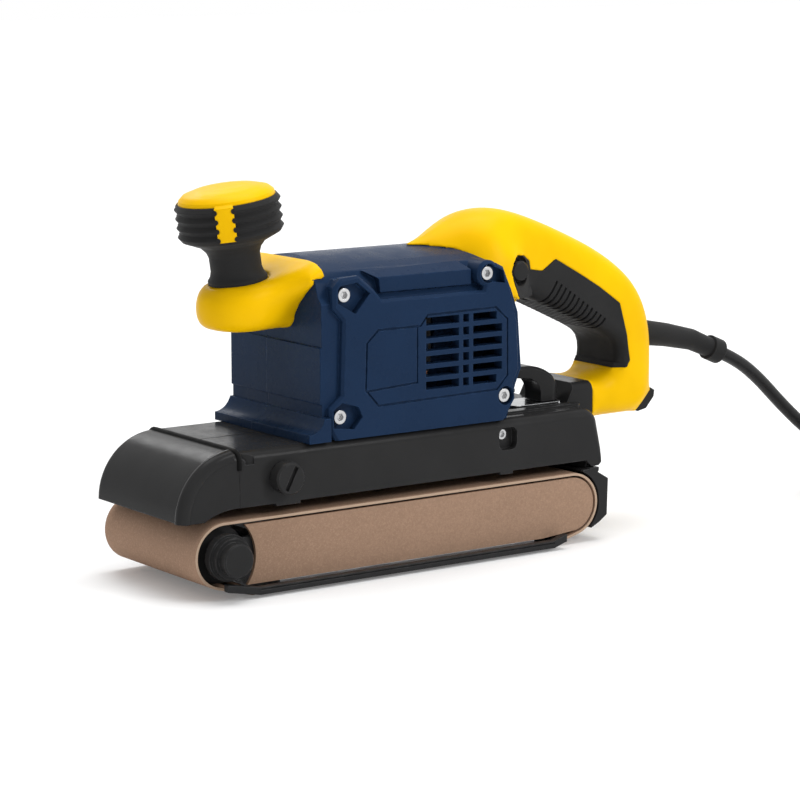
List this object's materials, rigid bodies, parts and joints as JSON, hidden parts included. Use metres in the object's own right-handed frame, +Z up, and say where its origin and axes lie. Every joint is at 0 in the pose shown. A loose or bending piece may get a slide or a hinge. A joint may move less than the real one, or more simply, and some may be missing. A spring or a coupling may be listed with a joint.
{
  "type": "belt sander",
  "caption": "Corded hand belt sander: sanding belt over a drive drum and a tracked front roller, cross-mounted motor, front knob, D handle with trigger, and a cord coiled behind.",
  "frame": {"origin": "on the sole, the belt's lower face, midway between the front and rear axles and midway across the belt", "axes": "+X back towards the handle and cord, +Y to the operator's right, the drive side, +Z up"},
  "size_m": [0.4443, 0.1885, 0.1694],
  "materials": {
    "navy_shell": "satin",
    "yellow_shell": "satin",
    "black_shell": "matte",
    "soft_rubber": "matte",
    "abrasive_cloth": "grainy",
    "brown_plate": "satin",
    "steel": "satin",
    "dark_steel": "satin",
    "aluminium": "cast",
    "core_iron": "laminated",
    "copper": "enamelled wire",
    "brass": "satin",
    "carbon": "matte",
    "drum_rubber": "matte",
    "cork_pad": "matte",
    "cord_rubber": "satin"
  },
  "bodies": {
    "frame": {"sanding_belt": "abrasive_cloth", "platen": "steel", "platen_pad": "cork_pad", "edge_rail": "dark_steel", "belt_side_plate": "brown_plate", "belt_frame": "aluminium", "tension_spring": "steel", "lever_plate": "steel", "drum_bearings": "steel", "toothed_belt": "drum_rubber", "stator": "core_iron", "field_windings": "copper", "motor_bearings": "steel", "brush_holders": "brass", "carbon_brushes": "carbon", "motor_housing_left": "navy_shell", "motor_housing_right": "navy_shell", "housing_screws": "steel", "drive_cover": "black_shell", "drive_cover_screws": "steel", "nose_bracket": "yellow_shell", "knob_grip": "black_shell", "knob_cap": "yellow_shell", "knob_bolt": "steel", "handle_left": "yellow_shell", "handle_right": "yellow_shell", "soft_grip": "soft_rubber", "switch_body": "black_shell", "rear_bumper": "black_shell", "base_housing": "black_shell", "front_hood": "black_shell", "skirt_screw": "steel", "dust_shoe": "black_shell", "cord_guard": "soft_rubber", "power_cord": "cord_rubber", "cord_coil": "cord_rubber", "coil_tie": "cord_rubber", "plug": "cord_rubber"},
    "drum": {"drive_drum": "aluminium", "drum_sleeve": "drum_rubber", "drive_shaft": "steel", "driven_pulley": "aluminium"},
    "rotor": {"armature": "core_iron", "commutator": "copper", "motor_shaft": "steel", "cooling_fan": "black_shell", "motor_pulley": "aluminium"},
    "slide": {"tension_slide": "dark_steel", "pull_rod": "steel", "pivot_pin": "steel"},
    "carrier": {"axle_carrier": "dark_steel", "front_axle": "steel", "axle_hub": "black_shell"},
    "roller": {"front_roller": "black_shell", "roller_bushes": "brass"},
    "lever": {"release_lever": "black_shell"},
    "tracker": {"tracking_knob": "black_shell", "tracking_screw": "steel"},
    "trigger": {"trigger": "black_shell"},
    "lock": {"lock_button": "black_shell"}
  },
  "joints": [
    {"name": "drum_spin", "type": "hinge", "parent": "frame", "child": "drum", "pos_m": [0.09235, 0, 0.0183], "axis": [0, 1, 0], "continuous": true},
    {"name": "rotor_spin", "type": "hinge", "parent": "frame", "child": "rotor", "pos_m": [0.006, 0, 0.097], "axis": [0, 1, 0], "continuous": true},
    {"name": "tension_travel", "type": "slide", "parent": "frame", "child": "slide", "axis": [1, 0, 0], "range_m": [0, 0.0052], "deforming": ["tension_spring"]},
    {"name": "tracking_tilt", "type": "hinge", "parent": "slide", "child": "carrier", "pos_m": [-0.045, 0.0435, 0.0183], "axis": [0, 0, 1], "range_deg": [-0.35, 0.35]},
    {"name": "roller_spin", "type": "hinge", "parent": "carrier", "child": "roller", "pos_m": [-0.09235, 0, 0.0183], "axis": [0, 1, 0], "continuous": true},
    {"name": "release_swing", "type": "hinge", "parent": "frame", "child": "lever", "pos_m": [0.0975, -0.009, 0.061], "axis": [0, 0, 1], "range_deg": [0, 60]},
    {"name": "tracking_turn", "type": "hinge", "parent": "frame", "child": "tracker", "pos_m": [-0.0625, 0, 0.0485], "axis": [0, 1, 0], "range_deg": [-90, 90]},
    {"name": "trigger_pull", "type": "hinge", "parent": "frame", "child": "trigger", "pos_m": [0.067, 0, 0.116], "axis": [0, -1, 0], "range_deg": [0, 10], "stiffness_Nm_per_rad": 0.4, "springref_deg": -8.59},
    {"name": "lock_press", "type": "slide", "parent": "frame", "child": "lock", "axis": [0, 1, 0], "range_m": [0, 0.003], "stiffness_N_per_m": 400, "springref_m": -0.001}
  ],
  "couplings": [
    {"joint": "rotor_spin", "follows": "drum_spin", "ratio": 2.3077},
    {"joint": "roller_spin", "follows": "drum_spin", "ratio": 1.0361},
    {"joint": "release_swing", "follows": "tension_travel", "rad_per_m": 201.38},
    {"joint": "tracking_turn", "follows": "tracking_tilt", "ratio": -257.14}
  ]
}
